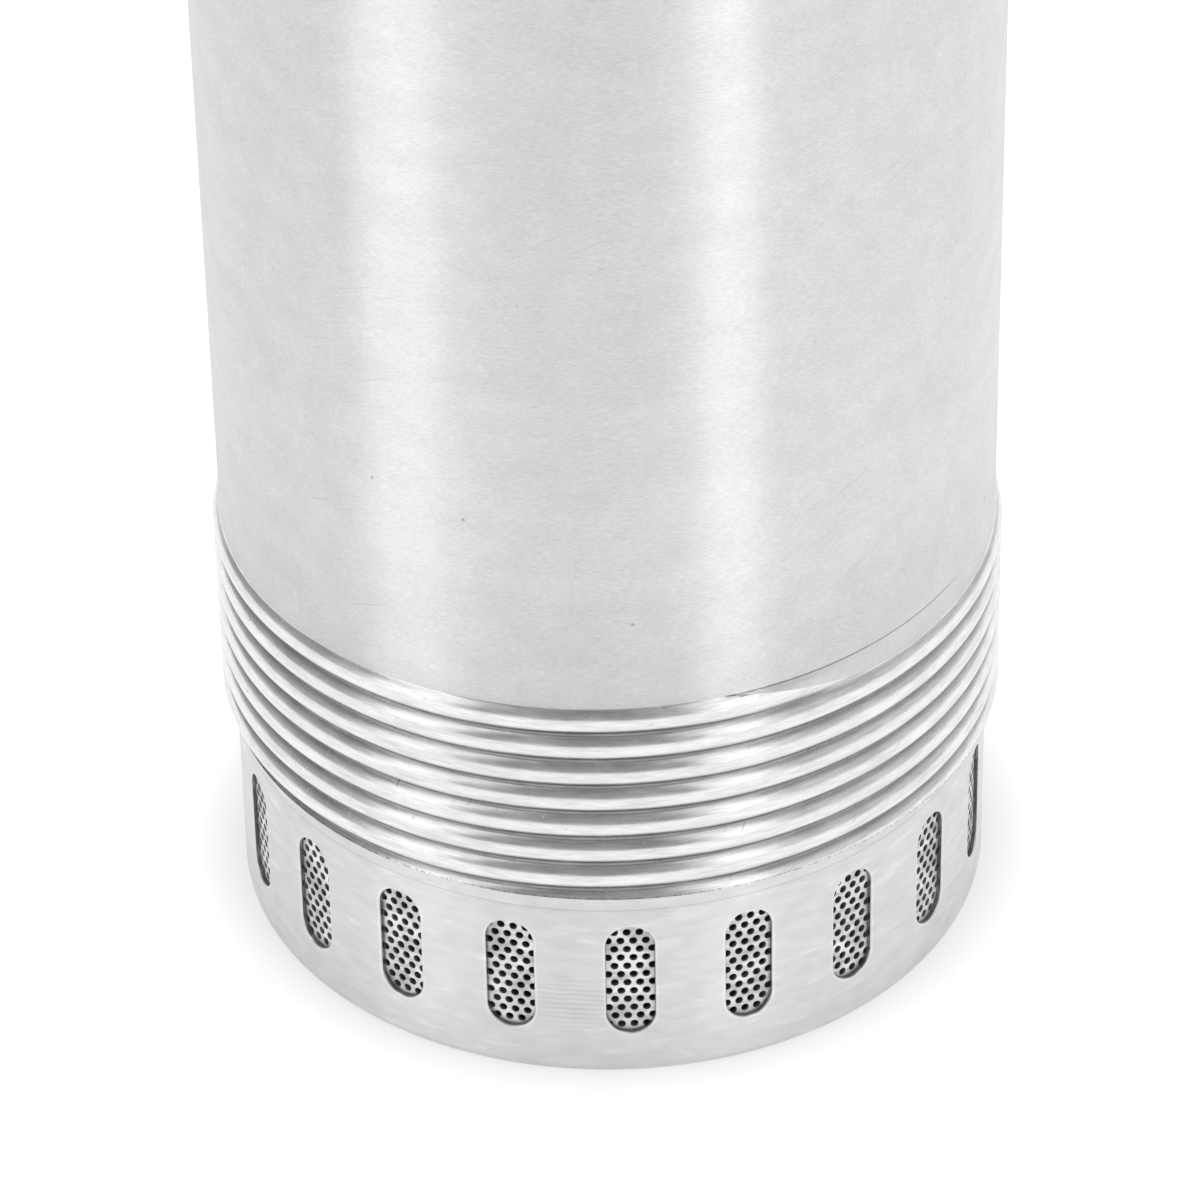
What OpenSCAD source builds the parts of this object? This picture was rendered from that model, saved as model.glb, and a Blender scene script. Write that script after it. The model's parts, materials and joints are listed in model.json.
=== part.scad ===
// Borehole pump, five inch class, bottom suction, with a slotted strainer foot.
// Millimetres, +Z up, origin on the axis at the underside of the foot.

/* [Sleeve and rolled thread] */
// Outside diameter of the plain tube
sleeve_od = 125; // [118:0.5:136]
// Wall of the tube
sleeve_wall = 1; // [0.8:0.05:1.2]
// Distance from one thread crest to the next
thread_pitch = 5.05; // [4.6:0.05:5.5]
// Full crests rolled into each end of the tube
thread_turns = 7; // [4:1:7]
// Height of a crest above the plain tube
thread_rise = 1.2; // [0.9:0.05:1.4]
// Depth of a groove below the plain tube
thread_sink = 0.6; // [0.4:0.05:0.7]
// Cut edge of the tube to the first full crest
thread_start = 4.55; // [4:0.05:5]

/* [Strainer foot] */
// Wall of the drawn foot
foot_wall = 1; // [0.8:0.05:1.2]
// Outer corner radius at the base
foot_corner = 2.5; // [2:0.1:4]
// Height of the stamped recess in the base
base_recess = 1.5; // [0.5:0.1:2]
// Number of slots around the foot
slot_count = 20; // [12:2:22]
// Width of a slot
slot_w = 8; // [6:0.1:9]
// Height of a slot, with its round ends
slot_h = 21.5; // [16:0.1:30]
// Base to the lower end of the slots
slot_sill = 8.9; // [7:0.1:15]
// Upper end of the slots to the cut edge of the tube
slot_land = 6.6; // [5.5:0.1:12]
// Turn of the first slot from the front, towards the right
slot_turn = 2; // [0:0.5:9]
// Length of the neck inside the tube
neck_len = 33; // [26:0.5:36]

/* [Strainer screen] */
// Thickness of the perforated sheet
screen_wall = 0.6; // [0.5:0.05:0.8]
// Diameter of a perforation
screen_hole_d = 2.4; // [1.6:0.1:2.6]
// Distance between perforations
screen_hole_pitch = 4; // [3.6:0.1:4.4]

/* [Pump stages] */
// Room for the guide vanes between an impeller and its bowl
guide_room = 11.1; // [9:0.1:15]
// Width of an impeller over both shrouds
impeller_w = 9.5; // [8:0.1:12]
// Diameter of the collar around the impeller's eye
eye_d = 37; // [34:0.5:40]
// Thickness of an impeller shroud
shroud_t = 1.5; // [1.2:0.1:2]
// Vanes in an impeller
vane_count = 6; // [5:1:7]
// Vanes in a return channel
return_vanes = 8; // [6:1:9]
// Height of a return channel
return_h = 10; // [8:0.1:13]
// Thickness of a stage's floor
floor_t = 2; // [1.6:0.1:3]
// Thickness of a stage's wall
bowl_wall = 2.5; // [2:0.1:3]
// Height of the suction cover
suction_h = 9.7; // [9.2:0.1:12]
// Diameter of the shaft inside the impellers
shaft_d = 14; // [12:0.5:15]

/* [Seal chamber] */
// Height of the delivery cover
delivery_h = 16; // [14:0.5:22]
// Thickness of the seal carrier's flange
carrier_t = 6; // [5:0.1:8]
// Distance between the carrier and the lower bearing housing
oil_h = 26; // [24:0.5:34]
// Diameter of the shaft inside the seals
seal_shaft_d = 20; // [18:0.5:21]

/* [Motor] */
// Water passage between the motor casing and the parts that fit the tube
water_gap = 10.6; // [9.5:0.1:13]
// Wall of the motor casing
motor_wall = 1.5; // [1.2:0.1:2]
// Length of the stator and rotor cores
core_len = 110; // [70:1:150]
// Diameter of the rotor
rotor_od = 51; // [48:0.5:52]
// Radial air gap between the rotor and the stator
air_gap = 0.5; // [0.4:0.05:0.8]
// Slots in the stator
stator_slots = 24; // [18:6:24]
// Height of the end turns at each end of the stator
end_turn_h = 16; // [12:0.5:22]

/* [Bearings] */
// Bore of the lower ball bearing
low_bearing_bore = 25; // [24:0.5:26]
// Outside diameter of the lower ball bearing
low_bearing_od = 52; // [50:0.5:54]
// Width of the lower ball bearing
low_bearing_w = 15; // [14:0.5:17]
// Bore of the upper ball bearing
top_bearing_bore = 17; // [16:0.5:18]
// Outside diameter of the upper ball bearing
top_bearing_od = 40; // [38:0.5:42]
// Width of the upper ball bearing
top_bearing_w = 12; // [11:0.5:14]

/* [Discharge head] */
// Bore of the outlet, the minor diameter of its pipe thread
port_d = 39; // [36:0.1:39.6]
// Length of the outlet's thread
port_len = 22; // [18:0.5:28]
// Diameter of the outlet boss
boss_d = 50; // [49:0.5:52]
// Radius of the head's shoulder
dome_r = 20; // [18:0.5:21]
// Wall of the head
head_wall = 4; // [3.5:0.1:5]
// Diameter of the hole in a lifting lug
lug_hole_d = 12; // [10:0.5:13]
// Thickness of a lifting lug
lug_t = 6; // [5:0.1:8]
// Lift of the check valve
valve_lift = 8; // [6:0.5:9]
// Diameter of the cable that the gland takes
cable_d = 9; // [8:0.1:10]

/* [Hidden] */
$fn = 96;
cut = 1;
// Clearances: a seated fit, a running fit, parts that move past each other, rubbing rings
seat_gap = 0.05;
bearing_gap = 0.05;
run_gap = 0.3;
ring_gap = 0.4;

// Tube
sleeve_ro = sleeve_od / 2;
sleeve_ri = sleeve_ro - sleeve_wall;
crest_ro = sleeve_ro + thread_rise;
root_ri = sleeve_ro - thread_sink - sleeve_wall;
thread_depth = thread_rise + thread_sink;
crest_arc = (pow(thread_pitch / 2, 2) + pow(thread_depth, 2)) / (2 * thread_depth);
stack_r = root_ri - run_gap;
function crest_z(i) = thread_start + i * thread_pitch;

// Foot and screen
foot_ro = stack_r + foot_wall;
foot_ri = foot_ro - foot_wall;
foot_h = slot_sill + slot_h + slot_land;
foot_top = foot_h - run_gap;
neck_ro = stack_r;
neck_ri = neck_ro - foot_wall;
neck_top = foot_h + neck_len;
foot_inner_corner = foot_corner - foot_wall;
recess_r = foot_ro - foot_corner - 13;
slot_mid = slot_sill + slot_h / 2;
screen_ro = foot_ri - run_gap;
screen_ri = screen_ro - screen_wall;
screen_top = foot_top - 2 * foot_wall - 0.5;
hole_row = screen_hole_pitch * sin(60);
row_reach = floor((slot_h / 2 - screen_hole_d / 2) / hole_row);

// Stages
cover_z = neck_top + run_gap;
stage_z = cover_z + suction_h;
eye_r = eye_d / 2;
eye_hole_r = eye_r + ring_gap + 2.1;
side_gap = 1;
back_gap = 1.5;
disc_t = 2;
stage_pitch = floor_t + side_gap + impeller_w + back_gap + disc_t + return_h;
stage_count = 4;
shaft_r = shaft_d / 2;
hub_r = shaft_r + 4;
hub_ri = shaft_r + seat_gap;
hub_z = side_gap + shroud_t + 0.5;
hub_len = impeller_w + 2 - hub_z;
bowl_ri = stack_r - bowl_wall;
impeller_r = bowl_ri - guide_room;
disc_r = bowl_ri - 4.1;
vane_in = impeller_r + 2.5;
key_w = 4;
key_h = 4;
key_r = shaft_r + key_h / 2;
function floor_z(i) = stage_z + i * stage_pitch;
function chamber_z(i) = floor_z(i) + floor_t;

// Delivery, seals and lower bearing
delivery_z = floor_z(stage_count);
delivery_floor = 3;
carrier_z = delivery_z + delivery_h;
casing_z = carrier_z + carrier_t;
casing_ro = stack_r - water_gap;
casing_ri = casing_ro - motor_wall;
core_r = casing_ri - 2 * seat_gap;
flange_r = stack_r - 2.3;
pillar_r = (casing_ro + flange_r) / 2;
pillar_d = 2 * (flange_r - pillar_r) - 0.5;
seal_r = seal_shaft_d / 2;
seat_hole_r = seal_r + 6;
spigot_ri = core_r - 4.4;
housing_z = casing_z + oil_h;
seal_ring_h = 6;
low_seal_z = casing_z + seat_gap;
top_seal_z = housing_z - seat_gap;
low_bearing_z = housing_z + 6;
low_ro = low_bearing_od / 2;
low_ri = low_bearing_bore / 2;
pocket_top = low_bearing_z + low_bearing_w + 1;
ledge = 0.6;

// Motor
end_turn_z = pocket_top + 2;
core_z = end_turn_z + end_turn_h;
core_top = core_z + core_len;
rotor_r = rotor_od / 2;
bore_r = rotor_r + air_gap;
rotor_shaft_r = low_ri + 0.5;
slot_out = core_r - 8.4;
stator_slot_w = 0.59 * 2 * PI * bore_r / stator_slots;
top_ro = top_bearing_od / 2;
top_ri = top_bearing_bore / 2;
top_bearing_z = core_top + end_turn_h + 6;
spring_h = 2;
bracket_z = top_bearing_z + top_bearing_w + spring_h;
bracket_t = 4;
cap_z = bracket_z + bracket_t;
cap_spigot = 8;
casing_top = cap_z + cap_spigot;
cap_t = 5;
cap_top = casing_top + cap_t;
cap_r = casing_ro + 3;

// Head
thread_len = crest_z(thread_turns - 1);
sleeve_top = cap_top + 35;
skirt_z = sleeve_top - thread_len - 16.5;
skirt_ri = stack_r - 3;
shoulder_z = sleeve_top + run_gap;
dome_z = shoulder_z + 2;
deck_z = dome_z + dome_r;
dome_mid = foot_ro - dome_r;
boss_r = boss_d / 2;
port_r = port_d / 2;
chamber_r = boss_r - 2;
boss_top = deck_z + 1 + port_len;
guide_top = deck_z + 1 - run_gap;
guide_h = 5.7;
guide_z = guide_top - guide_h;
seat_h = 5;
seat_ri = 13;
stem_r = 2.5;
poppet_r = chamber_r - 6;
pad_t = 1.5;
poppet_t = 2.2;
pressed_spring = 8;
spring_z = guide_z - valve_lift - pressed_spring;
poppet_z = spring_z - poppet_t - pad_t;
seat_z = poppet_z - run_gap - seat_h;
lug_x = boss_r + 17;
lug_r = lug_hole_d / 2 + 5;
lug_z = deck_z + lug_r + 3;
gland_y = boss_r + 12.5;
gland_hole_r = 7;
gland_af = 20;
grommet_ro = cable_d / 2 + 1.95;
o_ring = 1.5;
suction_groove_z = stage_z - 3;
head_groove_z = skirt_z + 7;
pillar_ring = cap_r - 8;

// Ring of a rectangular section
module ring(ri, ro, z, h)
  translate([0, 0, z])
    difference() {
      cylinder(r = ro, h = h);
      translate([0, 0, -cut]) cylinder(r = ri, h = h + 2 * cut);
    }

// Section of a ring, for revolving
module section(ri, ro, z0, z1)
  translate([ri, z0]) square([ro - ri, z1 - z0]);

// Round ring seal
module o_ring(mid_r, z)
  rotate_extrude() translate([mid_r, z]) circle(r = o_ring, $fn = 32);

// Hexagon across its flats
module hexagon(af, z, h)
  translate([0, 0, z]) cylinder(d = af / cos(30), h = h, $fn = 6);

// Copies around the axis
module around(n, turn = 0)
  for (i = [0:n - 1]) rotate([0, 0, turn + i * 360 / n]) children();

// One swept vane: an arc of a circle through the axis, between two radii
module vane(r0, r1, arc, t)
  intersection() {
    difference() {
      translate([arc, 0]) circle(r = arc + t / 2);
      translate([arc, 0]) circle(r = arc - t / 2);
    }
    difference() {
      circle(r = r1);
      circle(r = r0);
    }
    square([r1, r1]);
  }

// Wire swept along a helix, closed at both ends
module coil(r, wire, z0, z1, turns) {
  steps = 20 * turns;
  sides = 8;
  rise = z1 - z0 - 2 * wire;
  pts = [for (i = [0:steps]) for (j = [0:sides - 1])
    let (a = 360 * turns * i / steps, b = 360 * j / sides, q = r + wire * cos(b))
    [q * cos(a), q * sin(a), z0 + wire + rise * i / steps + wire * sin(b)]];
  skin = [for (i = [0:steps - 1]) for (j = [0:sides - 1])
    let (k = (j + 1) % sides)
    [i * sides + j, i * sides + k, (i + 1) * sides + k, (i + 1) * sides + j]];
  start = [for (j = [0:sides - 1]) sides - 1 - j];
  finish = [for (j = [0:sides - 1]) steps * sides + j];
  polyhedron(points = pts, faces = concat(skin, [start], [finish]), convexity = 10);
}

// Slots of the foot, each a flat bar with round ends
module foot_slots()
  around(slot_count, slot_turn - 90)
    translate([foot_ri - 2, 0, slot_mid])
      rotate([0, 90, 0]) {
        translate([-(slot_h - slot_w) / 2, -slot_w / 2, 0]) cube([slot_h - slot_w, slot_w, 6]);
        for (s = [-1, 1]) translate([s * (slot_h - slot_w) / 2, 0, 0]) cylinder(d = slot_w, h = 6, $fn = 32);
      }

module strainer_foot()
  color("silver")
    difference() {
      rotate_extrude() difference() {
        union() {
          section(0, foot_ro - foot_corner, 0, foot_corner);
          translate([foot_ro - foot_corner, foot_corner]) circle(r = foot_corner, $fn = 64);
          section(0, foot_ro, foot_corner, foot_top);
          section(0, neck_ro, foot_top - cut, neck_top);
        }
        polygon([[0, base_recess + foot_wall], [recess_r - 1, base_recess + foot_wall], [recess_r + 1, foot_wall],
          [foot_ri - foot_inner_corner, foot_wall], [foot_ri - foot_inner_corner, foot_corner + cut],
          [0, base_recess + foot_wall + 2 * cut]]);
        translate([foot_ri - foot_inner_corner, foot_corner]) circle(r = foot_inner_corner, $fn = 48);
        section(0, foot_ri, foot_corner, foot_top - 2 * foot_wall);
        polygon([[0, foot_top - 3 * foot_wall], [foot_ri, foot_top - 2 * foot_wall],
          [neck_ri, foot_top - foot_wall], [neck_ri, neck_top + cut], [0, neck_top + cut]]);
        polygon([[0, -cut], [recess_r + cut, -cut], [recess_r, 0], [recess_r - 2, base_recess], [0, base_recess]]);
      }
      foot_slots();
    }

module strainer_screen()
  color("gainsboro")
    difference() {
      ring(screen_ri, screen_ro, foot_corner, screen_top - foot_corner);
      around(slot_count, slot_turn - 90)
        for (j = [-row_reach:row_reach])
          for (y = (abs(j) % 2 == 1) ? [-0.5, 0.5] : [0])
            translate([screen_ri - 2, y * screen_hole_pitch, slot_mid + j * hole_row])
              rotate([0, 90, 0]) cylinder(d = screen_hole_d, h = 4, $fn = 24);
    }

// Wall of one rolled end, from the cut edge at zero upwards: round crests that meet in sharp grooves
module rolled_end() {
  reach = thread_len + thread_pitch;
  crest_mid = crest_ro - crest_arc;
  difference() {
    union() {
      section(0, crest_mid, 0, reach);
      section(0, sleeve_ro, thread_len, reach);
      for (i = [-1:thread_turns - 1])
        intersection() {
          translate([crest_mid, crest_z(i)]) circle(r = crest_arc, $fn = 64);
          section(0, crest_ro + cut, max(0, crest_z(i - 0.5)), crest_z(i + 0.5));
        }
    }
    section(0, root_ri, -cut, reach + cut);
    section(0, sleeve_ri, thread_len, reach + cut);
    for (i = [-1:thread_turns - 1])
      translate([crest_mid, crest_z(i)]) circle(r = crest_arc - sleeve_wall, $fn = 48);
  }
}

module outer_sleeve()
  color("lightgray")
    rotate_extrude() {
      translate([0, foot_h]) rolled_end();
      translate([0, sleeve_top]) mirror([0, 1]) rolled_end();
      section(sleeve_ri, sleeve_ro, foot_h + thread_len + thread_pitch, sleeve_top - thread_len - thread_pitch);
    }

module suction_cover()
  color("dimgray") {
    difference() {
      union() {
        rotate_extrude() difference() {
          union() {
            section(stack_r - 4, stack_r, cover_z, stage_z);
            section(eye_hole_r, stack_r, stage_z - 4, stage_z);
          }
          section(stack_r - 2.2, stack_r + cut, suction_groove_z - 1.6, suction_groove_z + 1.6);
        }
        around(3, 30) translate([10.5, -2.5, stage_z - 12]) cube([stack_r - 14, 5, 8.5]);
        translate([0, 0, stage_z - 18]) cylinder(r = 12, h = 13);
      }
      translate([0, 0, stage_z - 30]) cylinder(r = shaft_r + 2, h = 40);
    }
  }

module suction_o_ring()
  color("black") o_ring(sleeve_ri - seat_gap - o_ring, suction_groove_z);

module guide_bush()
  color("goldenrod")
    ring(shaft_r - 1 + bearing_gap, shaft_r + 2 - seat_gap, stage_z - 18, 13);

module stage_bowl(i)
  color("slategray")
    rotate_extrude() {
      section(eye_hole_r, stack_r, floor_z(i), chamber_z(i));
      section(bowl_ri, stack_r, floor_z(i), floor_z(i + 1));
    }

module wear_rings()
  color("goldenrod")
    for (i = [0:stage_count - 1]) ring(eye_r + ring_gap, eye_hole_r - seat_gap, floor_z(i), floor_t);

// Diffuser: guide vanes outside the impeller, a disc above it and swept return vanes on the disc
module diffuser(i) {
  z = chamber_z(i);
  disc_z = z + side_gap + impeller_w + back_gap;
  color("darkslategray") {
    ring(hub_r + ring_gap, disc_r, disc_z, disc_t);
    around(return_vanes - 1)
      translate([0, 0, z])
        linear_extrude(disc_z + disc_t / 2 - z) vane(vane_in, bowl_ri - run_gap, 0.69 * bowl_ri, 2);
    around(return_vanes)
      translate([0, 0, disc_z + 0.75 * disc_t])
        linear_extrude(return_h + disc_t / 4) vane(eye_hole_r + 2, disc_r - 1, 0.59 * disc_r, 1.8);
  }
}

module keyway(r)
  translate([0, -(key_w + 2 * seat_gap) / 2, 0]) cube([r + seat_gap, key_w + 2 * seat_gap, 999]);

// Closed impeller: two shrouds, swept vanes, an eye collar below and a keyed hub
module impeller(i) {
  z = chamber_z(i);
  top = side_gap + impeller_w;
  color("burlywood")
    difference() {
      union() {
        translate([0, 0, z]) rotate_extrude() {
          section(eye_r - 2, eye_r, -3, side_gap + shroud_t);
          section(eye_r - 2, impeller_r, side_gap, side_gap + shroud_t);
          section(hub_ri, impeller_r, top - shroud_t - 0.5, top);
          section(hub_ri, hub_r, hub_z, hub_z + hub_len);
        }
        around(vane_count)
          translate([0, 0, z + side_gap + shroud_t / 2])
            linear_extrude(impeller_w - shroud_t) vane(eye_r - 3.5, impeller_r - 0.2, 0.6 * impeller_r, 1.6);
      }
      translate([0, 0, z]) keyway(key_r);
    }
}

module impeller_spacers()
  color("silver")
    for (i = [0:stage_count - 1])
      difference() {
        ring(hub_ri, hub_r, chamber_z(i) + hub_z + hub_len, stage_pitch - hub_len);
        keyway(key_r);
      }

// Shaft stack on the rotor, from the lower end upwards
stack_low = chamber_z(0) + hub_z;
stack_high = chamber_z(stage_count) + hub_z;
nut_h = 6.5;
washer_t = 1;
key_len = stack_high - stack_low - 2;

module impeller_nut()
  color("silver")
    difference() {
      hexagon(2 * hub_r * cos(30), stack_low - washer_t - nut_h, nut_h);
      translate([0, 0, stack_low - 20]) cylinder(r = hub_ri, h = 30);
    }

module impeller_washer()
  color("silver") ring(hub_ri, hub_r, stack_low - washer_t, washer_t);

module impeller_key()
  color("gray")
    translate([key_r - key_h, -key_w / 2, stack_low + 1]) cube([key_h, key_w, key_len]);

module pump_shaft()
  color("silver")
    difference() {
      rotate_extrude() {
        section(0, shaft_r - 1, stage_z - 20, stage_z - 4.5);
        section(0, shaft_r, stage_z - 5, stack_high);
        section(0, seal_r, stack_high, low_bearing_z);
        section(0, low_ri, low_bearing_z, low_bearing_z + low_bearing_w);
        section(0, low_ri + 2.5, low_bearing_z + low_bearing_w, low_bearing_z + low_bearing_w + 4);
        section(0, rotor_shaft_r, low_bearing_z + low_bearing_w, top_bearing_z);
        section(0, top_ri, top_bearing_z, bracket_z - 0.5);
      }
      translate([key_r - key_h - seat_gap, -key_w / 2 - seat_gap, stack_low + 1 - seat_gap])
        cube([key_h + cut, key_w + 2 * seat_gap, key_len + 2 * seat_gap]);
    }

module delivery_cover()
  color("slategray") {
    ring(eye_hole_r + 3, stack_r, delivery_z, delivery_floor);
    difference() {
      around(6)
        translate([pillar_r, 0, delivery_z + delivery_floor - cut])
          cylinder(d = pillar_d, h = delivery_h - delivery_floor + cut, $fn = 32);
      around(6) translate([pillar_r, 0, carrier_z - 11]) cylinder(r = 2 + seat_gap, h = 12, $fn = 24);
    }
  }

module seal_carrier()
  color("darkgray")
    difference() {
      rotate_extrude() difference() {
        union() {
          section(seat_hole_r, flange_r, carrier_z, casing_z);
          section(spigot_ri, core_r, casing_z - cut, housing_z);
        }
        section(core_r - 3, core_r + cut, casing_z + 4, casing_z + 7.2);
      }
      around(6) translate([pillar_r, 0, carrier_z - cut]) cylinder(r = 2 + seat_gap, h = carrier_t + 2 * cut, $fn = 24);
    }

module carrier_screws()
  color("silver")
    around(6)
      translate([pillar_r, 0, casing_z])
        difference() {
          union() {
            cylinder(r = 3.5, h = 4, $fn = 32);
            translate([0, 0, -carrier_t - 10]) cylinder(r = 2, h = carrier_t + 11, $fn = 24);
          }
          translate([0, 0, 2]) cylinder(r = 1.7, h = 4, $fn = 6);
        }

module lower_seal_seat()
  color("white") ring(seal_r + ring_gap, seat_hole_r - seat_gap, carrier_z, carrier_t);

module lower_seal_ring()
  color("dimgray") ring(seal_r + bearing_gap, seat_hole_r - 1, low_seal_z, seal_ring_h);

module seal_spring()
  color("silver") coil(seal_r + 2.6, 1, low_seal_z + seal_ring_h, top_seal_z - seal_ring_h, 4);

module upper_seal_ring()
  color("dimgray") ring(seal_r + bearing_gap, seat_hole_r - 1, top_seal_z - seal_ring_h, seal_ring_h);

module upper_seal_seat()
  color("white") ring(seal_r + ring_gap, seat_hole_r - seat_gap, housing_z, 6 - ledge);

module motor_casing()
  color("silver") ring(casing_ri, casing_ro, casing_z, casing_top - casing_z);

module casing_o_rings()
  color("black") {
    o_ring(casing_ri - seat_gap - o_ring, casing_z + 5.6);
    o_ring(casing_ri - seat_gap - o_ring, casing_top - 3.9);
  }

module lower_bearing_housing()
  color("darkgray")
    rotate_extrude() {
      section(seat_hole_r, core_r, housing_z, low_bearing_z - ledge);
      section(low_ro - 2.5, core_r, housing_z, low_bearing_z);
      section(low_ro + seat_gap, low_ro + 5, low_bearing_z - cut, pocket_top);
      section(spigot_ri, core_r, housing_z, pocket_top - 6);
    }

// Ball bearing: two grooved rings, and balls held in a cage
module bearing_ring(r0, r1, mid, ball, z, w)
  rotate_extrude() difference() {
    section(r0, r1, z, z + w);
    translate([mid, z + w / 2]) circle(r = ball + 0.12, $fn = 48);
  }

module bearing_balls(mid, ball, z, w, n) {
  ring(mid - 0.8, mid + 0.8, z + w / 2 - 1.5, 3);
  around(n) translate([mid, 0, z + w / 2]) sphere(r = ball, $fn = 32);
}

low_mid = (low_ro + low_ri) / 2;
low_ball = 0.294 * (low_ro - low_ri);
top_mid = (top_ro + top_ri) / 2;
top_ball = 0.294 * (top_ro - top_ri);

module lower_bearing_outer()
  color("silver") bearing_ring(low_mid + 0.77 * low_ball, low_ro, low_mid, low_ball, low_bearing_z, low_bearing_w);

module lower_bearing_inner()
  color("silver")
    bearing_ring(low_ri + seat_gap, low_mid - 0.77 * low_ball, low_mid, low_ball, low_bearing_z, low_bearing_w);

module lower_bearing_balls()
  color("gainsboro") bearing_balls(low_mid, low_ball, low_bearing_z, low_bearing_w, 9);

module upper_bearing_outer()
  color("silver") bearing_ring(top_mid + 0.77 * top_ball, top_ro, top_mid, top_ball, top_bearing_z, top_bearing_w);

module upper_bearing_inner()
  color("silver")
    bearing_ring(top_ri + seat_gap, top_mid - 0.77 * top_ball, top_mid, top_ball, top_bearing_z, top_bearing_w);

module upper_bearing_balls()
  color("gainsboro") bearing_balls(top_mid, top_ball, top_bearing_z, top_bearing_w, 8);

module stator_core()
  color("slategray")
    translate([0, 0, core_z])
      linear_extrude(core_len)
        difference() {
          circle(r = core_r);
          circle(r = bore_r);
          around(stator_slots) translate([bore_r - 2, -stator_slot_w / 2]) square([slot_out - bore_r + 2, stator_slot_w]);
        }

module stator_windings()
  color("peru") {
    for (z = [end_turn_z, core_top + run_gap])
      ring(bore_r + 7, slot_out + 3.5, z, end_turn_h - run_gap);
    around(stator_slots)
      translate([bore_r + 2, -stator_slot_w / 2 + 0.2, end_turn_z + 1])
        cube([slot_out - bore_r - 2.3, stator_slot_w - 0.4, core_len + 2 * end_turn_h - 2]);
  }

module rotor_core()
  color("slategray") ring(rotor_shaft_r + seat_gap, rotor_r, core_z, core_len);

module rotor_end_rings()
  color("lightgray")
    for (z = [core_z - 8, core_top]) ring(rotor_shaft_r + 4, rotor_r - 0.5, z, 8);

module upper_bearing_bracket()
  color("darkgray")
    rotate_extrude() {
      section(top_ri + 1.5, core_r, bracket_z, cap_z);
      section(top_ro + seat_gap, top_ro + 4.5, top_bearing_z - 2, bracket_z + cut);
    }

// Wave spring: a flat ring whose height follows three waves around the axis
module wave_spring() {
  steps = 72;
  t = 0.4;
  r = [top_mid + top_ball, top_ro - 0.3];
  swing = (spring_h - t) / 2 - seat_gap;
  mid = top_bearing_z + top_bearing_w + spring_h / 2;
  pts = [for (i = [0:steps - 1]) for (c = [[0, -1], [1, -1], [1, 1], [0, 1]])
    let (a = 360 * i / steps)
    [r[c[0]] * cos(a), r[c[0]] * sin(a), mid + swing * cos(3 * a) + c[1] * t / 2]];
  skin = [for (i = [0:steps - 1]) for (j = [0:3])
    let (n = (i + 1) % steps, k = (j + 1) % 4)
    each [[i * 4 + j, i * 4 + k, n * 4 + k], [i * 4 + j, n * 4 + k, n * 4 + j]]];
  color("silver") polyhedron(points = pts, faces = skin, convexity = 6);
}

module motor_cap()
  color("silver")
    difference() {
      rotate_extrude() difference() {
        union() {
          section(spigot_ri, core_r, cap_z, casing_top + cut);
          section(0, cap_r, casing_top, cap_top);
        }
        section(core_r - 3, core_r + cut, casing_top - 5.5, casing_top - 2.3);
      }
      translate([0, gland_y, casing_top - cut]) cylinder(r = gland_hole_r, h = cap_t + 2 * cut, $fn = 48);
    }

module cable_conduit()
  color("silver")
    translate([0, gland_y, 0]) ring(gland_hole_r - 2, gland_hole_r - seat_gap, casing_top, deck_z - 8 - casing_top);

// Discharge head: threaded skirt, shoulder, outlet boss with the valve chamber, pillars on the motor cap, two lugs
module discharge_head()
  color("lightgray")
    difference() {
      union() {
        rotate_extrude() difference() {
          union() {
            section(skirt_ri, stack_r, skirt_z, shoulder_z + cut);
            section(0, foot_ro, shoulder_z, dome_z);
            intersection() {
              translate([dome_mid, dome_z]) circle(r = dome_r);
              section(0, foot_ro + cut, dome_z - cut, deck_z + cut);
            }
            section(0, dome_mid, shoulder_z, deck_z);
            section(0, boss_r, deck_z - cut, boss_top);
          }
          section(stack_r - 2.2, stack_r + cut, head_groove_z - 1.6, head_groove_z + 1.6);
          section(0, skirt_ri, skirt_z - cut, dome_z);
          intersection() {
            translate([dome_mid, dome_z]) circle(r = dome_r - head_wall);
            section(0, skirt_ri, dome_z - cut, deck_z);
          }
          section(0, dome_mid, dome_z - cut, deck_z - head_wall);
        }
        translate([0, 0, seat_z]) cylinder(r = boss_r + 0.5, h = deck_z - seat_z);
        around(4, 45) translate([pillar_ring, 0, cap_top]) cylinder(r = 5, h = deck_z - 2 - cap_top, $fn = 40);
        translate([0, gland_y, deck_z - 16]) cylinder(r = gland_hole_r + 4, h = 16, $fn = 48);
        intersection() {
          translate([0, gland_y, deck_z - 8]) cylinder(r = 13.5, h = 8, $fn = 48);
          cylinder(r = foot_ro - 3, h = boss_top);
        }
        for (s = [-1, 1])
          translate([s * lug_x, lug_t / 2, lug_z])
            rotate([90, 0, 0]) {
              cylinder(r = lug_r, h = lug_t);
              translate([-lug_r, deck_z - 5 - lug_z, 0]) cube([2 * lug_r, lug_z - deck_z + 5, lug_t]);
            }
      }
      translate([0, 0, seat_z - cut]) cylinder(r = chamber_r, h = deck_z + 1 - seat_z + cut);
      translate([0, 0, deck_z]) cylinder(r = port_r, h = port_len + 2 * cut);
      translate([0, gland_y, deck_z - 20]) cylinder(r = gland_hole_r, h = 30, $fn = 48);
      for (s = [-1, 1])
        translate([s * lug_x, lug_t, lug_z]) rotate([90, 0, 0]) cylinder(d = lug_hole_d, h = 2 * lug_t);
    }

module head_o_ring()
  color("black") o_ring(sleeve_ri - seat_gap - o_ring, head_groove_z);

module valve_seat()
  color("silver") ring(seat_ri, chamber_r - seat_gap, seat_z, seat_h);

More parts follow.
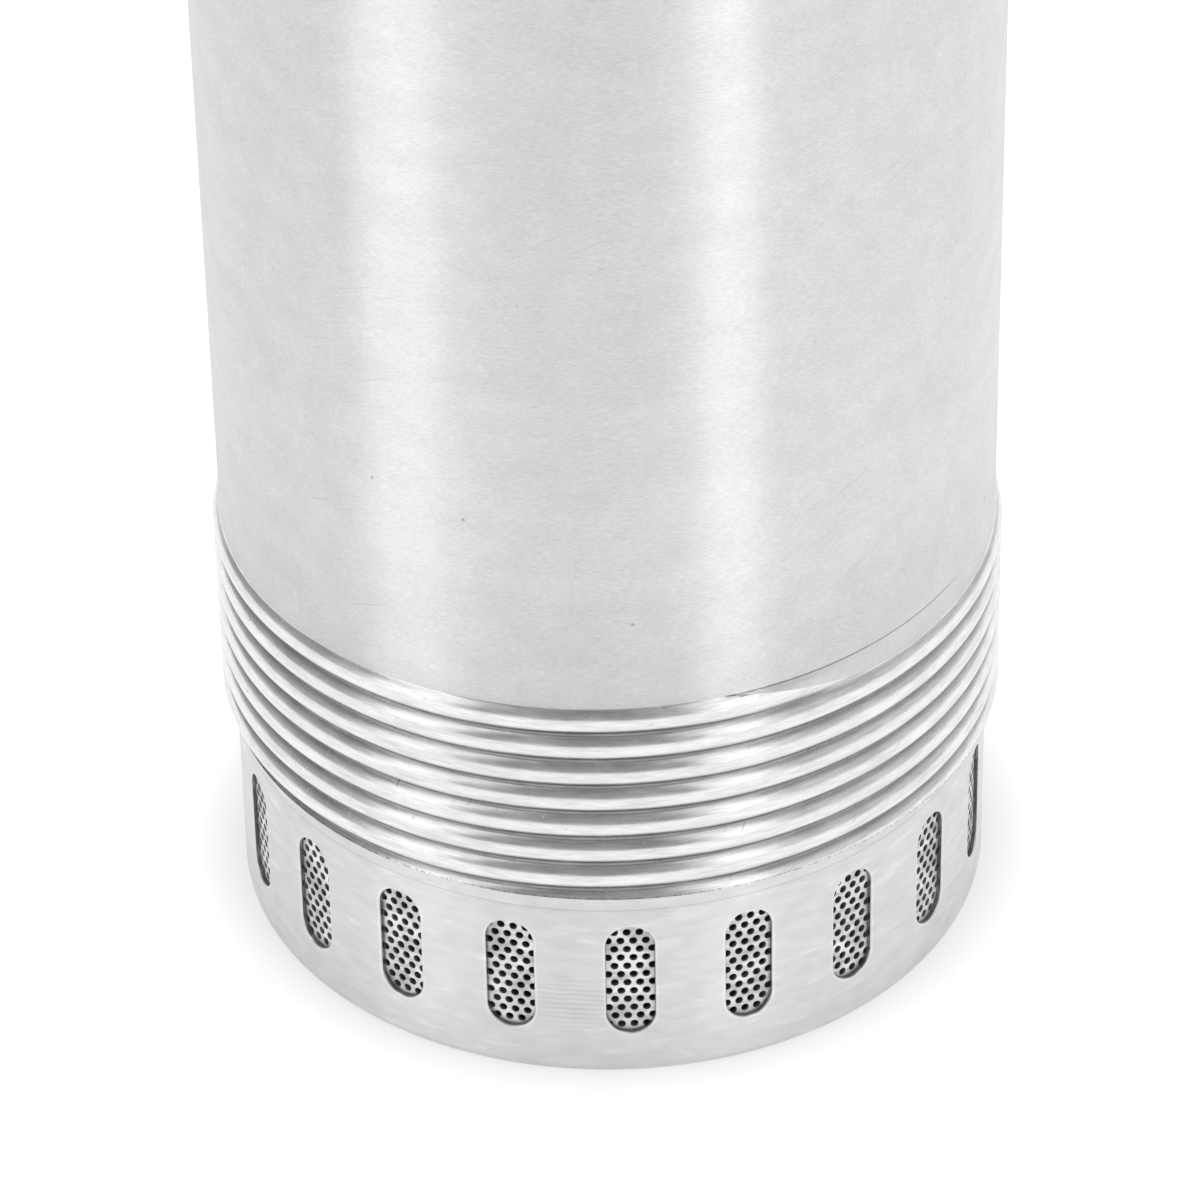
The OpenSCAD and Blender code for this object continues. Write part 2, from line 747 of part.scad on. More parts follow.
module valve_guide()
  color("dimgray") {
    ring(chamber_r - 2.5, chamber_r - seat_gap, guide_z, guide_h);
    difference() {
      union() {
        translate([0, 0, guide_z - 3]) cylinder(r = stem_r + 2.5, h = guide_h + 3);
        around(3) translate([0, -1.5, guide_z]) cube([chamber_r - 1, 3, guide_h]);
      }
      translate([0, 0, guide_z - 10]) cylinder(r = stem_r + bearing_gap, h = 30);
    }
  }

module valve_poppet()
  color("gainsboro")
    rotate_extrude() {
      section(0, poppet_r, poppet_z + pad_t, spring_z);
      section(0, stem_r, poppet_z + pad_t, guide_top - 1.5);
    }

module valve_seal()
  color("black") ring(seat_ri - 2, poppet_r - 0.5, poppet_z, pad_t);

module valve_spring()
  color("silver") coil(stem_r + 4.2, 0.6, spring_z, guide_z, 5);

module gland_body()
  color("silver")
    translate([0, gland_y, 0])
      difference() {
        union() {
          translate([0, 0, deck_z - 8]) cylinder(r = gland_hole_r - seat_gap, h = 9, $fn = 48);
          hexagon(gland_af, deck_z, 6);
          translate([0, 0, deck_z + 5]) cylinder(r = grommet_ro + 1.85, h = 10, $fn = 48);
        }
        translate([0, 0, deck_z - 9]) cylinder(r = gland_hole_r - 2, h = 30, $fn = 48);
        translate([0, 0, deck_z + 2]) cylinder(r = grommet_ro + seat_gap, h = 30, $fn = 48);
      }

module gland_grommet()
  color("black")
    translate([0, gland_y, 0]) ring(cable_d / 2, grommet_ro, deck_z + 2, 13.2);

module gland_nut()
  color("silver")
    translate([0, gland_y, 0])
      difference() {
        union() {
          hexagon(gland_af, deck_z + 6.5, 8);
          translate([0, 0, deck_z + 14]) cylinder(r = gland_af / 2 - 0.4, h = 5);
        }
        translate([0, 0, deck_z + 6]) cylinder(r = grommet_ro + 1.9, h = 9.5, $fn = 48);
        translate([0, 0, deck_z + 6]) cylinder(r = cable_d / 2 + 0.5, h = 20, $fn = 48);
      }

strainer_foot();
strainer_screen();
outer_sleeve();
suction_cover();
suction_o_ring();
guide_bush();
stage_bowl(0);  // stage_bowl_1
stage_bowl(1);  // stage_bowl_2
stage_bowl(2);  // stage_bowl_3
stage_bowl(3);  // stage_bowl_4
diffuser(0);  // diffuser_1
diffuser(1);  // diffuser_2
diffuser(2);  // diffuser_3
diffuser(3);  // diffuser_4
wear_rings();
impeller(0);  // impeller_1
impeller(1);  // impeller_2
impeller(2);  // impeller_3
impeller(3);  // impeller_4
impeller_spacers();
impeller_nut();
impeller_washer();
impeller_key();
pump_shaft();
delivery_cover();
seal_carrier();
carrier_screws();
lower_seal_seat();
lower_seal_ring();
seal_spring();
upper_seal_ring();
upper_seal_seat();
motor_casing();
casing_o_rings();
lower_bearing_housing();
lower_bearing_outer();
lower_bearing_inner();
lower_bearing_balls();
stator_core();
stator_windings();
rotor_core();
rotor_end_rings();
upper_bearing_bracket();
upper_bearing_outer();
upper_bearing_inner();
upper_bearing_balls();
wave_spring();
motor_cap();
cable_conduit();
discharge_head();
head_o_ring();
valve_seat();
valve_guide();
valve_poppet();
valve_seal();
valve_spring();
gland_body();
gland_grommet();
gland_nut();
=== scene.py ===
# Borehole pump standing on its strainer foot, in a white studio
import json
import math
import bmesh
import bpy
import numpy as np
from mathutils import Matrix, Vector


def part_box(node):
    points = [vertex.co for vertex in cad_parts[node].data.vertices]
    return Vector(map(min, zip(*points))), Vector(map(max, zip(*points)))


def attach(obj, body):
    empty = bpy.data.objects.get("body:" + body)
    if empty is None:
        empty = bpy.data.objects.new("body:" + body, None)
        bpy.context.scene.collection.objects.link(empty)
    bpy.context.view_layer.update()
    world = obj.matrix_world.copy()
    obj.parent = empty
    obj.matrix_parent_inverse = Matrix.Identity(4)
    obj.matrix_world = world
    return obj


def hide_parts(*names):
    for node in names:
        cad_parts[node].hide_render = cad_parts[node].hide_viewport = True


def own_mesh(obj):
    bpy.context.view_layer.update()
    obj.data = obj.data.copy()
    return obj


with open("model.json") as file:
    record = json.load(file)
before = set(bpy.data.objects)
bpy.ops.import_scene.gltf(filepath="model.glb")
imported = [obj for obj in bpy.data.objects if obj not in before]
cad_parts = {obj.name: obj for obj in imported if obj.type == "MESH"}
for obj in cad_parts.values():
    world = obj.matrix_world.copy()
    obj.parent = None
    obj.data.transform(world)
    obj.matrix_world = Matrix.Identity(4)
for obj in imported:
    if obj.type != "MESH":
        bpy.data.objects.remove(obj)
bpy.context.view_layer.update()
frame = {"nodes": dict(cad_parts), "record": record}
print("frame loaded:", len(frame["nodes"]), "nodes")

mm = 0.001
mathNode = "ShaderNodeMath"
rangeNode = "ShaderNodeMapRange"  # inputs 1 to 4: from low, from high, to first, to last
vectorNode = "ShaderNodeVectorMath"
splitNode = "ShaderNodeSeparateXYZ"
noiseSpan = {1: 0.3, 2: 0.7}  # from low and from high of a range node: where most of a noise lies
lineDepth = 0.02 * mm  # depth of brushed and drawn lines
mergeGap = 2e-6  # in metres, points closer than this become one


# sRGB hex to the linear colour that shaders use
def linear(hexText):
    srgb = [int(hexText[i:i + 2], 16) / 255 for i in (1, 3, 5)]
    return tuple(c / 12.92 if c <= 0.04045 else ((c + 0.055) / 1.055) ** 2.4 for c in srgb) + (1.0,)


# one node: settings are attributes or input values, links come from a socket or a node's first output
def addNode(tree, kind, settings=None, links=None):
    node = tree.nodes.new(kind)
    for key, value in (settings or {}).items():
        if isinstance(key, int) or key in node.inputs:
            node.inputs[key].default_value = value
        else:
            setattr(node, key, value)
    for key, source in (links or {}).items():
        socket = source.outputs[0] if isinstance(source, bpy.types.Node) else source
        tree.links.new(socket, node.inputs[key])
    return node


# a new material with its surface shader and the piece's own coordinates
def newMaterial(name, settings):
    material = bpy.data.materials.new(name)
    material.use_nodes = True
    tree = material.node_tree
    shader = tree.nodes["Principled BSDF"]
    for key, value in settings.items():
        shader.inputs[key].default_value = value
    where = addNode(tree, "ShaderNodeTexCoord").outputs["Object"]
    return material, tree, shader, where


# quads of a grid of rows and columns; either way may close into a loop
def gridQuads(rows, columns, closeRows, closeColumns):
    rowCount = rows if closeRows else rows - 1
    columnCount = columns if closeColumns else columns - 1
    i, j = np.meshgrid(np.arange(rowCount), np.arange(columnCount), indexing="ij")
    nextRow = (i + 1) % rows
    nextColumn = (j + 1) % columns
    near = [i * columns + j, i * columns + nextColumn]
    far = [nextRow * columns + nextColumn, nextRow * columns + j]
    return np.stack(near + far, -1).reshape(-1, 4)


# mesh object from point and quad arrays, doubles merged, edges above the angle kept sharp
def makePiece(name, points, quads, sharpAngle, material, body, rimHighlightMask=None):
    mesh = bpy.data.meshes.new(name)
    mesh.vertices.add(len(points))
    mesh.vertices.foreach_set("co", np.asarray(points, dtype=np.float32).ravel())
    mesh.loops.add(quads.size)
    mesh.loops.foreach_set("vertex_index", quads.astype(np.int32).ravel())
    mesh.polygons.add(len(quads))
    mesh.polygons.foreach_set("loop_start", np.arange(0, quads.size, 4, dtype=np.int32))
    mesh.update(calc_edges=True)
    # points on the slot rims, where the foot's finish paints a highlight
    if rimHighlightMask is not None:
        layer = mesh.attributes.new("rimHighlight", "FLOAT", "POINT")
        layer.data.foreach_set("value", rimHighlightMask.astype(np.float32))
    work = bmesh.new()
    work.from_mesh(mesh)
    bmesh.ops.remove_doubles(work, verts=work.verts, dist=mergeGap)
    work.to_mesh(mesh)
    work.free()
    mesh.polygons.foreach_set("use_smooth", np.ones(len(mesh.polygons), dtype=bool))
    mesh.set_sharp_from_angle(angle=math.radians(sharpAngle))
    mesh.materials.append(material)
    piece = bpy.data.objects.new(name, mesh)
    bpy.context.scene.collection.objects.link(piece)
    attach(piece, body)
    return piece


# point array from radius, angle and height; angle 0 faces the viewer and grows to the right
def onAxis(radius, angle, height):
    return np.stack([radius * np.sin(angle), -radius * np.cos(angle), height], -1).reshape(-1, 3)


# noise whose grain has a real size in mm along each axis, turned about the depth axis if asked
def pattern(tree, where, sizeMm, detail, turn=0.0):
    size = [grain * mm for grain in sizeMm]
    settings = {"vector_type": "TEXTURE", "Scale": size, "Rotation": (0, turn, 0)}
    place = addNode(tree, "ShaderNodeMapping", settings, {"Vector": where})
    return addNode(tree, "ShaderNodeTexNoise", {"Scale": 1.0, "Detail": detail}, {"Vector": place})


# shades multiplied together, one after another
def allShades(tree, shades):
    total = shades[0]
    for shade in shades[1:]:
        total = addNode(tree, mathNode, {"operation": "MULTIPLY"}, {0: total, 1: shade})
    return total


# colour between a finish's dark and light tones, dimmed by a shade
def paint(tree, shader, look, tone, shade=None):
    ends = {"data_type": "RGBA", 6: linear(look["dark"]), 7: linear(look["light"])}
    links = {0: addNode(tree, "ShaderNodeMix", ends, {0: tone}).outputs[2]}
    if shade is not None:
        links["Scale"] = shade
    dimmed = addNode(tree, vectorNode, {"operation": "SCALE", "Scale": 1.0}, links)
    tree.links.new(dimmed.outputs[0], shader.inputs["Base Color"])


# steel worked around its axis: fine lines stretch each highlight upwards
def turnedSteel(name, look):
    material, tree, shader, where = newMaterial(name, {
        "Metallic": 1.0, "Anisotropic": look["stretch"], "Anisotropic Rotation": 0.25})
    tangent = addNode(tree, "ShaderNodeTangent", {"direction_type": "RADIAL", "axis": "Z"})
    tree.links.new(tangent.outputs["Tangent"], shader.inputs["Tangent"])
    return material, tree, shader, where


# turned steel whose tone changes in short streaks and soft smears along the lines
def linedSteel(name, look):
    material, tree, shader, where = turnedSteel(name, look)
    smearMm = look["smearMm"]
    grain = pattern(tree, where, (look["streakMm"], look["streakMm"], look["lineMm"]), 4.0)
    smear = pattern(tree, where, (smearMm, smearMm, smearMm * 0.15), 2.0)
    softRange = {**noiseSpan, 3: 0.5 - look["smear"], 4: 0.5 + look["smear"]}
    soft = addNode(tree, rangeNode, softRange, {0: smear})
    mixed = addNode(tree, mathNode, {"operation": "ADD"}, {0: grain, 1: soft})
    tone = addNode(tree, rangeNode, {1: 0.75, 2: 1.25, 3: 0.0, 4: 1.0}, {0: mixed})
    roughRange = {**noiseSpan, 3: look["roughness"] - look["vary"], 4: look["roughness"] + look["vary"]}
    rough = addNode(tree, rangeNode, roughRange, {0: smear})
    depth = {"Strength": look["bump"], "Distance": lineDepth}
    bump = addNode(tree, "ShaderNodeBump", depth, {"Height": grain})
    tree.links.new(bump.outputs[0], shader.inputs["Normal"])
    return material, tree, shader, where, tone, rough


# painted shade: a thin dark line along the crease where the roll left the tube; it follows the helix up to
# the right and then ends
def creaseShadeLine(tree, where, look):
    place = addNode(tree, splitNode, {}, {0: where}).outputs
    front = addNode(tree, mathNode, {"operation": "MULTIPLY", 1: -1.0}, {0: place["Y"]})
    angle = addNode(tree, mathNode, {"operation": "ARCTAN2"}, {0: place["X"], 1: front})
    risePerRadian = look["markPitchMm"] * mm / (2 * math.pi)
    climb = {"operation": "MULTIPLY_ADD", 1: risePerRadian, 2: look["markMm"] * mm}
    helix = addNode(tree, mathNode, climb, {0: angle})
    gap = addNode(tree, mathNode, {"operation": "SUBTRACT"}, {0: place["Z"], 1: helix})
    away = addNode(tree, mathNode, {"operation": "ABSOLUTE"}, {0: gap})
    # painted shade in the crease: darkest on the helix line
    thin = {1: 0.05 * mm, 2: 0.16 * mm, 3: look["creaseShade"], 4: 1.0}
    line = addNode(tree, rangeNode, thin, {0: away})
    stop = {1: math.radians(look["markFade"]), 2: math.radians(look["markEnd"]), 3: 0.0, 4: 1.0}
    ended = addNode(tree, rangeNode, stop, {0: angle})
    return addNode(tree, mathNode, {"operation": "MAXIMUM"}, {0: line, 1: ended})


# handling marks on the tube: soft clouds, a few scratches and tiny specks; with them a painted shade that
# darkens the end beside the thread
def handlingAndLowShade(tree, where, look):
    patches = pattern(tree, where, (look["cloudMm"],) * 3, 4.0)
    cloud = addNode(tree, rangeNode, {1: 0.32, 2: 0.68, 3: look["cloudShade"], 4: 1.0}, {0: patches})
    height = addNode(tree, splitNode, {}, {0: where}).outputs["Z"]
    # painted shade: the tube gets darker towards the thread's end
    paintedLowTop = look["markMm"] + look["paintedLowMm"]
    paintedLowRange = {1: look["markMm"] * mm, 2: paintedLowTop * mm, 3: look["paintedLowShade"], 4: 1.0}
    paintedLow = addNode(tree, rangeNode, paintedLowRange, {0: height})
    scratchSize = (look["scratchMm"], 20, look["scratchMm"] * 60)
    strokes = pattern(tree, where, scratchSize, 1.0, look["scratchTurn"])
    scratches = addNode(tree, rangeNode, {1: 0.74, 2: 0.8, 3: 1.0, 4: look["scratchShade"]}, {0: strokes})
    spacing = {"Scale": 1 / (look["speckGapMm"] * mm)}
    dots = addNode(tree, "ShaderNodeTexVoronoi", spacing, {"Vector": where}).outputs["Distance"]
    reach = look["speckMm"] / look["speckGapMm"]
    specks = addNode(tree, rangeNode, {1: reach * 0.5, 2: reach, 3: look["speckShade"], 4: 1.0}, {0: dots})
    return allShades(tree, [cloud, paintedLow, scratches, specks])


# brushed stainless: belt lines run around the tube, so its reflections are soft upwards and crisp sideways
def brushedStainless(name, look):
    material, tree, shader, where, tone, rough = linedSteel(name, look)
    # painted shade of the crease and the lower end, together with the handling marks
    shadeAndMarks = allShades(tree, [creaseShadeLine(tree, where, look), handlingAndLowShade(tree, where, look)])
    paint(tree, shader, look, tone, shadeAndMarks)
    tree.links.new(rough.outputs[0], shader.inputs["Roughness"])
    return material


# rolled stainless: painted shade on the steep flanks and in the grooves, set by the slope of the surface;
# handling leaves bright ticks, the saw specks the cut edge
def rolledStainless(name, look):
    material, tree, shader, where, tone, rough = linedSteel(name, look)
    normal = addNode(tree, "ShaderNodeNewGeometry").outputs["Normal"]
    upward = addNode(tree, splitNode, {}, {0: normal}).outputs["Z"]
    # painted shade: faces that tilt away from up are darker, and the steepest ones at the grooves are
    # darkest
    shadedFlank = addNode(tree, rangeNode, {1: 0.62, 2: 0.88, 3: 1.0, 4: look["flankPaintedShade"]}, {0: upward})
    shadedGroove = addNode(tree, rangeNode, {1: 0.87, 2: 0.93, 3: 1.0, 4: look["groovePaintedShade"]}, {0: upward})
    height = addNode(tree, splitNode, {}, {0: where}).outputs["Z"]
    lowCut = {1: look["lowMm"] * mm, 2: (look["lowMm"] + look["sawMm"]) * mm, 3: 1.0, 4: 0.0}
    highCut = {1: (look["highMm"] - look["sawMm"]) * mm, 2: look["highMm"] * mm, 3: 0.0, 4: 1.0}
    lowEdge = addNode(tree, rangeNode, lowCut, {0: height})
    highEdge = addNode(tree, rangeNode, highCut, {0: height})
    cutEdge = addNode(tree, mathNode, {"operation": "ADD"}, {0: lowEdge, 1: highEdge})
    teeth = pattern(tree, where, look["toothMm"], 0.0)
    specks = addNode(tree, rangeNode, {1: 0.42, 2: 0.58, 3: 0.4, 4: 0.95}, {0: teeth})
    sawn = addNode(tree, "ShaderNodeMix", {2: 1.0}, {0: cutEdge, 3: specks})
    paint(tree, shader, look, tone, allShades(tree, [shadedFlank, shadedGroove, sawn]))
    strokes = pattern(tree, where, look["tickMm"], 1.0, look["tickTurn"])
    ticks = addNode(tree, rangeNode, {1: 0.71, 2: 0.77, 3: 0.0, 4: 0.75}, {0: strokes})
    uneven = addNode(tree, mathNode, {"operation": "MAXIMUM"}, {0: rough, 1: ticks})
    tree.links.new(uneven.outputs[0], shader.inputs["Roughness"])
    return material


# drawn stainless: satin sheet with wiped smears and faint draw lines
def drawnStainless(name, look):
    material, tree, shader, where = turnedSteel(name, look)
    smear = pattern(tree, where, (look["smearMm"],) * 3, 5.0)
    wipe = pattern(tree, where, (look["wipeMm"], look["wipeMm"], look["wipeMm"] * 0.35), 3.0)
    mixed = addNode(tree, mathNode, {"operation": "ADD"}, {0: smear, 1: wipe})
    tone = addNode(tree, rangeNode, {1: 0.78, 2: 1.22, 3: 0.0, 4: 1.0}, {0: mixed})
    roughRange = {**noiseSpan, 3: look["roughness"] - look["vary"], 4: look["roughness"] + look["vary"]}
    rough = addNode(tree, rangeNode, roughRange, {0: smear})
    tree.links.new(rough.outputs[0], shader.inputs["Roughness"])
    drawLines = pattern(tree, where, (25, 25, look["lineMm"]), 3.0)
    depth = {"Strength": look["bump"], "Distance": lineDepth}
    bump = addNode(tree, "ShaderNodeBump", depth, {"Height": drawLines})
    tree.links.new(bump.outputs[0], shader.inputs["Normal"])
    return material, tree, shader, where, tone


# how far a height lies from a level, above or below
def heightFrom(tree, height, levelMm):
    above = addNode(tree, mathNode, {"operation": "SUBTRACT", 1: levelMm * mm}, {0: height})
    return addNode(tree, mathNode, {"operation": "ABSOLUTE"}, {0: above})


# slots of the foot: painted shade on the walls inside the slots, a painted highlight on the rims, the rest
# of the foot unchanged
def paintedSlotLight(tree, where, height, look):
    flat = addNode(tree, vectorNode, {"operation": "MULTIPLY", 1: (1, 1, 0)}, {0: where})
    radius = addNode(tree, vectorNode, {"operation": "LENGTH"}, {0: flat}).outputs["Value"]
    # painted shade: the walls inside the slots are darker
    wallRange = {1: look["wallMm"] * mm, 2: (look["wallMm"] + 0.1) * mm, 3: look["wallPaintedShade"], 4: 1.0}
    paintedWallShade = addNode(tree, rangeNode, wallRange, {0: radius})
    # painted highlight: the slot rims are lighter, as if they caught the light
    rimMask = addNode(tree, "ShaderNodeAttribute", {"attribute_name": "rimHighlight"}).outputs["Fac"]
    paintedRimHighlight = addNode(tree, rangeNode, {1: 0.4, 2: 0.9, 3: 1.0, 4: look["rimHighlightGain"]}, {0: rimMask})
    paintedSlotEdges = allShades(tree, [paintedWallShade, paintedRimHighlight])
    fromMiddle = heightFrom(tree, height, look["slotMidMm"])
    slotEnd = {1: look["slotHalfMm"] * mm, 2: (look["slotHalfMm"] + 0.6) * mm, 3: 0.0, 4: 1.0}
    beyond = addNode(tree, rangeNode, slotEnd, {0: fromMiddle})
    return addNode(tree, "ShaderNodeMix", {3: 1.0}, {0: beyond, 2: paintedSlotEdges})


# patch of chatter marks from the die: close bands that fade out around one place
def chatterShade(tree, where, look):
    distance = {"operation": "DISTANCE", 1: look["chatterAt"]}
    away = addNode(tree, vectorNode, distance, {0: where}).outputs["Value"]
    inPatch = addNode(tree, rangeNode, {1: 2.0 * mm, 2: 7.0 * mm, 3: look["chatter"], 4: 0.0}, {0: away})
    bandScale = math.pi / 10 / (look["chatterMm"] * mm)
    bands = {"bands_direction": "Z", "Scale": bandScale, "Distortion": 2.0, "Detail": 2.0}
    wave = addNode(tree, "ShaderNodeTexWave", bands, {"Vector": where}).outputs["Fac"]
    dark = allShades(tree, [wave, inPatch])
    return addNode(tree, mathNode, {"operation": "SUBTRACT", 0: 1.0}, {1: dark})


# foot of drawn stainless: painted shade, a little darker towards the floor; a fine seam line, lighter wiped
# smudges
def footStainless(name, look):
    material, tree, shader, where, tone = drawnStainless(name, look)
    height = addNode(tree, splitNode, {}, {0: where}).outputs["Z"]
    # painted shade: the foot gets darker towards the floor
    paintedLowRange = {1: look["paintedLowFromMm"] * mm, 2: look["paintedLowToMm"] * mm, 3: look["paintedLowShade"], 4: 1.0}
    paintedLow = addNode(tree, rangeNode, paintedLowRange, {0: height})
    fromSeam = heightFrom(tree, height, look["seamMm"])
    seamRange = {1: 0.06 * mm, 2: 0.2 * mm, 3: look["seamShade"], 4: 1.0}
    seamLine = addNode(tree, rangeNode, seamRange, {0: fromSeam})
    streaks = pattern(tree, where, (look["smudgeMm"], look["smudgeMm"], look["smudgeMm"] * 0.2), 3.0)
    smudges = addNode(tree, rangeNode, {1: 0.58, 2: 0.7, 3: 1.0, 4: look["smudgeShade"]}, {0: streaks})
    slots = paintedSlotLight(tree, where, height, look)
    chatter = chatterShade(tree, where, look)
    paint(tree, shader, look, tone, allShades(tree, [paintedLow, slots, seamLine, smudges, chatter]))
    return material


# perforated sheet: uneven mill finish, rough enough to lose the light beside the slot edges
def sheetStainless(name, look):
    material, tree, shader, where, tone = drawnStainless(name, look)
    paint(tree, shader, look, tone)
    return material


# cast, ground or moulded surfaces: an even grit with a soft change of tone over it
def grittyFinish(name, look):
    material, tree, shader, where = newMaterial(name, {"Metallic": look["metallic"]})
    grit = pattern(tree, where, (look["gritMm"],) * 3, 2.0)
    patch = pattern(tree, where, (look["patchMm"],) * 3, 3.0)
    paint(tree, shader, look, addNode(tree, rangeNode, {**noiseSpan, 3: 0.0, 4: 1.0}, {0: patch}))
    vary = 0.06
    roughRange = {**noiseSpan, 3: look["roughness"] - vary, 4: look["roughness"] + vary}
    rough = addNode(tree, rangeNode, roughRange, {0: grit})
    tree.links.new(rough.outputs[0], shader.inputs["Roughness"])
    depth = {"Strength": look["bump"], "Distance": look["gritMm"] * 0.2 * mm}
    bump = addNode(tree, "ShaderNodeBump", depth, {"Height": grit})
    tree.links.new(bump.outputs[0], shader.inputs["Normal"])
    return material


# sizes in mm, ends of the roll's mark in degrees, turns of a pattern in radians, chatterAt in metres;
# the belt's and the roll's own lines are finer, and are drawn as coarse as they need to show
tubeSteel = brushedStainless("stainlessTubeBrushed", {
    "dark": "#DDDDDD", "light": "#F1F1F1", "roughness": 0.36, "vary": 0.005, "stretch": 1.0, "smear": 0.06,
    "lineMm": 0.25, "streakMm": 0.9, "smearMm": 30, "bump": 0.05, "markMm": 74.1, "markPitchMm": 5.05,
    "markFade": 53, "markEnd": 61, "creaseShade": 0.4, "cloudMm": 6, "cloudShade": 0.94, "paintedLowMm": 26,
    "paintedLowShade": 0.91, "scratchMm": 0.25, "scratchTurn": 1.1, "scratchShade": 0.8, "speckMm": 0.4,
    "speckGapMm": 11, "speckShade": 0.6})
rolledSteel = rolledStainless("stainlessThreadRolled", {
    "dark": "#CDCECE", "light": "#E9E9E8", "roughness": 0.25, "vary": 0.04, "stretch": 0.2, "smear": 0.2,
    "lineMm": 0.22, "streakMm": 3, "smearMm": 9, "bump": 0.1, "flankPaintedShade": 0.55, "groovePaintedShade": 0.2,
    "lowMm": 37.6, "highMm": 470.0, "sawMm": 0.3, "toothMm": (0.3, 0.3, 3.0), "tickMm": (0.3, 20, 2.2),
    "tickTurn": 0.6})
footSteel = footStainless("stainlessFootDrawn", {
    "dark": "#D2D2D2", "light": "#DEDEDE", "roughness": 0.34, "vary": 0.03, "stretch": 0.93, "smearMm": 14,
    "wipeMm": 5, "lineMm": 0.6, "bump": 0.08, "paintedLowFromMm": 3, "paintedLowToMm": 21, "paintedLowShade": 0.98,
    "wallMm": 61.32, "wallPaintedShade": 0.33, "rimHighlightGain": 1.17, "seamMm": 33.9, "seamShade": 0.84, "smudgeMm": 8,
    "smudgeShade": 1.1, "slotMidMm": 19.65, "slotHalfMm": 11.2, "chatter": 0.16, "chatterMm": 0.95,
    "chatterAt": (-0.0072, -0.0611, 0.0148)})
screenSteel = sheetStainless("stainlessSheetPerforated", {
    "dark": "#ACACAB", "light": "#E4E4E3", "roughness": 0.48, "vary": 0.03, "stretch": 0.0, "smearMm": 5,
    "wipeMm": 3, "lineMm": 0.5, "bump": 0.05})
print("outer finishes ready")


# sleeve with a rolled right-hand thread at both ends, in mm and degrees
sleeve = {
    "radius": 62.5, "wall": 1.0, "low": 37.6, "pitch": 5.05, "crestRise": 1.2, "grooveSink": 0.6,
    "firstCrest": 41.55, "crestAngle": -0.6, "lastTurn": 6, "fadeFrom": 14.0, "fadeTo": 46.0,
    "crease": 2.35, "turnRows": 16, "columns": 360, "tubeRows": 16, "tubeLift": 1.4, "insideStep": 3,
    "sharpDeg": 40}
sleeve["high"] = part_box("outer_sleeve")[1].z / mm
threadDepth = sleeve["crestRise"] + sleeve["grooveSink"]
crestBend = ((sleeve["pitch"] / 2) ** 2 + threadDepth ** 2) / (2 * threadDepth)
crestMiddle = sleeve["radius"] + sleeve["crestRise"] - crestBend


# one round crest: an arc whose middle lies inside the wall
def crestArc(offset):
    return crestMiddle + np.sqrt(np.maximum(crestBend ** 2 - offset ** 2, 0))


# the helix: a crest climbs one pitch for each turn to the right
def crestHeight(angle, turn):
    turned = (np.degrees(angle) - sleeve["crestAngle"]) / 360
    return sleeve["firstCrest"] + sleeve["pitch"] * (turned + turn)


# crest after crest, meeting in sharp grooves half a pitch from each crest
def knuckle(angle, height):
    offset = height - crestHeight(angle, 0)
    return crestArc(offset - sleeve["pitch"] * np.round(offset / sleeve["pitch"]))


# share of the last turn that is gone: it fades out to the right, and the turn below becomes the last one
def fadedTurn(angle):
    past = np.degrees(angle) - sleeve["fadeFrom"]
    fade = np.clip(past / (sleeve["fadeTo"] - sleeve["fadeFrom"]), 0, 1)
    return fade * fade * (3 - 2 * fade)


# outer radius near the lower end: crests up to the last turn, whose far side sinks into the plain tube
def rolledRadius(angle, height):
    def endingAt(turn):
        above = height - crestHeight(angle, turn)
        sinking = np.maximum(sleeve["radius"], crestArc(above))
        return np.where(above < 0, knuckle(angle, height), sinking)
    fade = fadedTurn(angle)
    return (1 - fade) * endingAt(sleeve["lastTurn"]) + fade * endingAt(sleeve["lastTurn"] - 1)


# height where the rolled part ends, just above the crease over the last turn
def creaseHeight(angle):
    return crestHeight(angle, sleeve["lastTurn"] - fadedTurn(angle)) + sleeve["crease"]


# a length of the sleeve from its radius and height arrays: outside up, inside down, closed at both rims
def sleeveLength(name, angle, height, radius, inside, material, flip):
    allHeight = np.concatenate([height, height[::-1][inside]])
    allRadius = np.concatenate([radius, radius[::-1][inside] - sleeve["wall"]])
    points = onAxis(allRadius * mm, np.broadcast_to(angle, allRadius.shape), allHeight * mm)
    if flip:
        points = points * [1, -1, -1] + [0, 0, (sleeve["low"] + sleeve["high"]) * mm]
    quads = gridQuads(len(allRadius), allRadius.shape[1], True, False)
    piece = makePiece(name, points, quads, sleeve["sharpDeg"], material, "pump")
    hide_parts("outer_sleeve")


# threaded end: rows follow the helix and crowd towards the grooves; the cut edge and the crease trim them
def threadedEnd(name, flip):
    angle = np.linspace(-math.pi, math.pi, sleeve["columns"] + 1)[None, :]
    share = 0.5 * np.sin(np.linspace(-0.5, 0.5, sleeve["turnRows"], endpoint=False) * math.pi)
    rows = (np.arange(-2, sleeve["lastTurn"] + 3)[:, None] + share).reshape(-1, 1)
    height = np.clip(crestHeight(angle, rows), sleeve["low"], creaseHeight(angle))
    radius = rolledRadius(angle, height)
    sleeveLength(name, angle, height, radius, slice(None, None, sleeve["insideStep"]), rolledSteel, flip)


# plain tube between the two creases, with rows close together where a fading turn still lifts it
def plainTube():
    angle = np.linspace(-math.pi, math.pi, sleeve["columns"] + 1)[None, :]
    turned = np.mod(2 * math.pi - angle, 2 * math.pi) - math.pi
    above = np.linspace(0, sleeve["pitch"] * sleeve["tubeLift"], sleeve["tubeRows"])[:, None]
    low = creaseHeight(angle) + above
    high = (creaseHeight(turned) + above)[::-1]
    height = np.concatenate([low, sleeve["low"] + sleeve["high"] - high])
    radius = np.concatenate([rolledRadius(angle, low), rolledRadius(turned, high)])
    sleeveLength("sleeveTube", angle, height, radius, slice(None), tubeSteel, False)


threadedEnd("sleeveLowerThread", False)
plainTube()
threadedEnd("sleeveUpperThread", True)
print("sleeve built")


